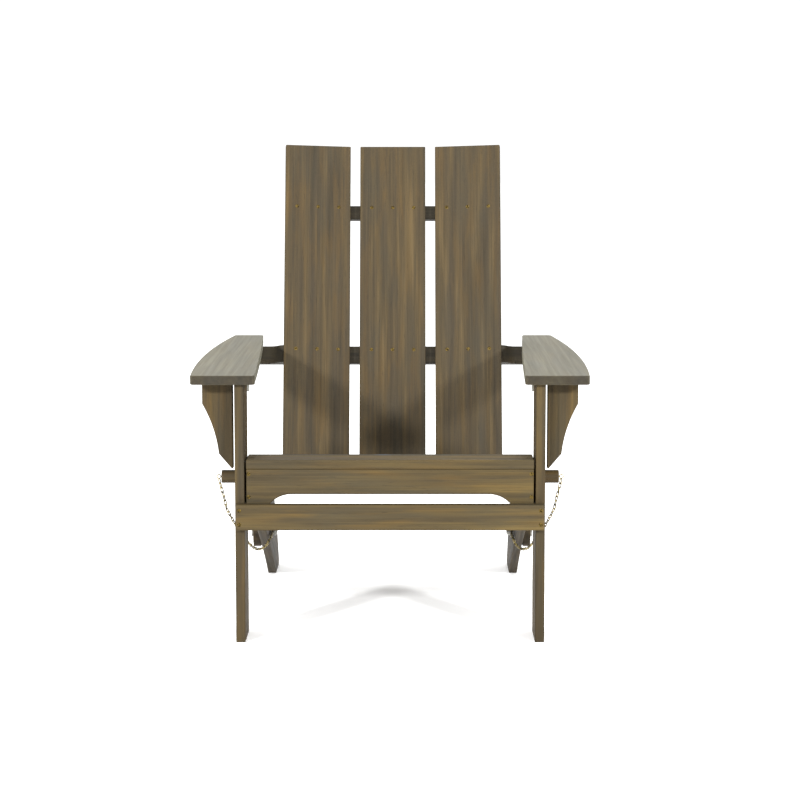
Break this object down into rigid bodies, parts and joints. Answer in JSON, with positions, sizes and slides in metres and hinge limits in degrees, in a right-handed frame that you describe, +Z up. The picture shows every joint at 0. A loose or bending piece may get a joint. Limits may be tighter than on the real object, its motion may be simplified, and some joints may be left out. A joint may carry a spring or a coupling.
{
  "type": "folding adirondack chair",
  "caption": "Low folding wooden armchair with a steep slatted back, sloping slatted seat, broad flat arms on corbels, and lock pins on short chains.",
  "frame": {"origin": "on the floor under the middle of the chair's box", "axes": "+X to the right seen from in front, +Y towards the back, +Z up"},
  "size_m": [0.7658, 0.852, 0.9353],
  "materials": {
    "board_wood": "weathered oil, matte",
    "frame_wood": "weathered oil, matte",
    "arm_wood": "weathered oil, matte",
    "dowel_wood": "plain turned, matte",
    "brass_plate": "thin yellow plating",
    "zinc_steel": "dull zinc"
  },
  "bodies": {
    "seat": {"apron": "board_wood", "apron_screws": "zinc_steel", "chain_end_ring_left": "brass_plate", "chain_end_ring_right": "brass_plate", "chain_left": "brass_plate", "chain_right": "brass_plate", "front_seat_slat": "board_wood", "pivot_bolt_left": "zinc_steel", "pivot_bolt_right": "zinc_steel", "pivot_nut_left": "zinc_steel", "pivot_nut_right": "zinc_steel", "pivot_washer_left": "zinc_steel", "pivot_washer_right": "zinc_steel", "seat_slat_1": "board_wood", "seat_slat_2": "board_wood", "seat_slat_3": "board_wood", "seat_slat_4": "board_wood", "seat_slat_5": "board_wood", "seat_slat_6": "board_wood", "seat_slat_screws": "zinc_steel", "stringer_left": "board_wood", "stringer_right": "board_wood"},
    "arms": {"arm_hinge_leaves": "zinc_steel", "arm_hinge_pins": "zinc_steel", "arm_hinge_screws": "zinc_steel", "arm_left": "arm_wood", "arm_right": "arm_wood", "corbel_bracket_left": "zinc_steel", "corbel_bracket_right": "zinc_steel", "corbel_bracket_screws": "zinc_steel", "corbel_left": "board_wood", "corbel_right": "board_wood"},
    "back": {"arm_rail": "frame_wood", "back_cheek_left": "frame_wood", "back_cheek_right": "frame_wood", "back_slat_centre": "board_wood", "back_slat_left": "board_wood", "back_slat_right": "board_wood", "back_slat_screws": "zinc_steel", "cheek_screws": "zinc_steel", "frame_hinge_leaves": "zinc_steel", "frame_hinge_screws": "zinc_steel", "lower_back_rail": "frame_wood", "upper_back_rail": "frame_wood"},
    "legs": {"front_stretcher": "board_wood", "leg_hinge_leaves": "zinc_steel", "leg_hinge_screws": "zinc_steel", "leg_left": "board_wood", "leg_right": "board_wood", "stretcher_screws": "zinc_steel"},
    "pin_left": {"lock_pin_left": "dowel_wood", "pin_eye_left": "brass_plate"},
    "pin_right": {"lock_pin_right": "dowel_wood", "pin_eye_right": "brass_plate"}
  },
  "joints": [
    {"name": "back_fold", "type": "hinge", "parent": "seat", "child": "back", "pos_m": [0, 0.038, 0.128], "axis": [1, 0, 0], "range_deg": [0, 83]},
    {"name": "arm_fold", "type": "hinge", "parent": "back", "child": "arms", "pos_m": [0, 0.32022, 0.4932], "axis": [1, 0, 0], "range_deg": [-107, 0]},
    {"name": "leg_fold", "type": "hinge", "parent": "arms", "child": "legs", "pos_m": [0, -0.313, 0.4932], "axis": [1, 0, 0], "range_deg": [0, 90.5]},
    {"name": "lock_pin_left_slide", "type": "slide", "parent": "legs", "child": "pin_left", "axis": [1, 0, 0], "range_m": [0, 0.02]},
    {"name": "lock_pin_right_slide", "type": "slide", "parent": "legs", "child": "pin_right", "axis": [-1, 0, 0], "range_m": [0, 0.02]}
  ],
  "couplings": [
    {"joint": "arm_fold", "follows": "back_fold", "ratio": -1.2831},
    {"joint": "leg_fold", "follows": "back_fold", "ratio": 1.0843}
  ]
}
